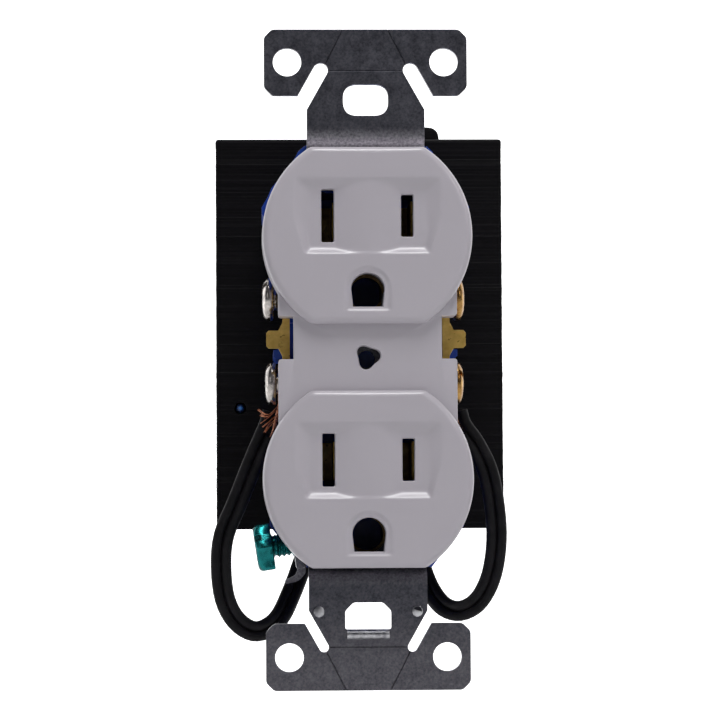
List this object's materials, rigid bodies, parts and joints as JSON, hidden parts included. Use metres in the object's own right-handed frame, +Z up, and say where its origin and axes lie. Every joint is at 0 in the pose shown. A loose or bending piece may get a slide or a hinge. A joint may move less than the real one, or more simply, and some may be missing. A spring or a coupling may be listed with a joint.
{
  "type": "duplex wall outlet",
  "caption": "Duplex grounding wall outlet on a steel yoke, with side screw terminals and a wired control module behind it.",
  "frame": {"origin": "centre of the yoke's seating plane, on the axis of its threaded cover-plate hole", "axes": "+Z up, faces look along -Y, +X to the viewer's right"},
  "size_m": [0.0493, 0.0525, 0.1064],
  "materials": {
    "galvanised_steel": "mottled zinc",
    "white_plastic": "satin",
    "blue_plastic": "satin",
    "brass": "satin",
    "nickel_plate": "bright",
    "green_screw": "glossy dye over zinc",
    "black_print": "printed layers",
    "black_vinyl": "satin",
    "copper": "bright strands",
    "foam_pad": "matte",
    "circuit_board": "satin",
    "led_lens": "clear",
    "zinc_fastener": "bright",
    "block_plastic": "satin"
  },
  "bodies": {
    "outlet": {"mounting_strap": "galvanised_steel", "front_cover": "white_plastic", "back_body": "blue_plastic", "neutral_contact_strip": "brass", "hot_contact_strip": "brass", "ground_contact_upper": "brass", "ground_contact_lower": "brass", "ground_rivet_upper": "zinc_fastener", "ground_rivet_lower": "zinc_fastener", "assembly_screw_upper": "zinc_fastener", "assembly_screw_lower": "zinc_fastener", "mounting_pad": "foam_pad", "module_case": "black_print", "module_lid": "black_print", "module_screw_1": "zinc_fastener", "module_screw_2": "zinc_fastener", "module_screw_3": "zinc_fastener", "module_screw_4": "zinc_fastener", "circuit_board": "circuit_board", "terminal_block": "block_plastic", "status_led": "led_lens", "neutral_lead_outer": "black_vinyl", "neutral_lead_inner": "black_vinyl", "hot_lead_outer": "black_vinyl", "hot_lead_inner": "black_vinyl", "neutral_wire_end": "copper", "hot_wire_end": "copper"},
    "neutral_screw_upper": {"neutral_screw_upper": "nickel_plate"},
    "neutral_screw_lower": {"neutral_screw_lower": "nickel_plate"},
    "hot_screw_upper": {"hot_screw_upper": "brass"},
    "hot_screw_lower": {"hot_screw_lower": "brass"},
    "ground_screw": {"ground_screw": "green_screw"}
  },
  "joints": [
    {"name": "neutral_screw_upper_travel", "type": "slide", "parent": "outlet", "child": "neutral_screw_upper", "axis": [-1, 0, 0], "range_m": [-0.0014, 0.0026]},
    {"name": "neutral_screw_lower_travel", "type": "slide", "parent": "outlet", "child": "neutral_screw_lower", "axis": [-1, 0, 0], "range_m": [-0.0003, 0.0028]},
    {"name": "hot_screw_upper_travel", "type": "slide", "parent": "outlet", "child": "hot_screw_upper", "axis": [1, 0, 0], "range_m": [-0.0009, 0.0031]},
    {"name": "hot_screw_lower_travel", "type": "slide", "parent": "outlet", "child": "hot_screw_lower", "axis": [1, 0, 0], "range_m": [0, 0.0031]},
    {"name": "ground_screw_travel", "type": "slide", "parent": "outlet", "child": "ground_screw", "axis": [-0.9888, 0, -0.1495], "range_m": [-0.0029, 0.0015]}
  ]
}
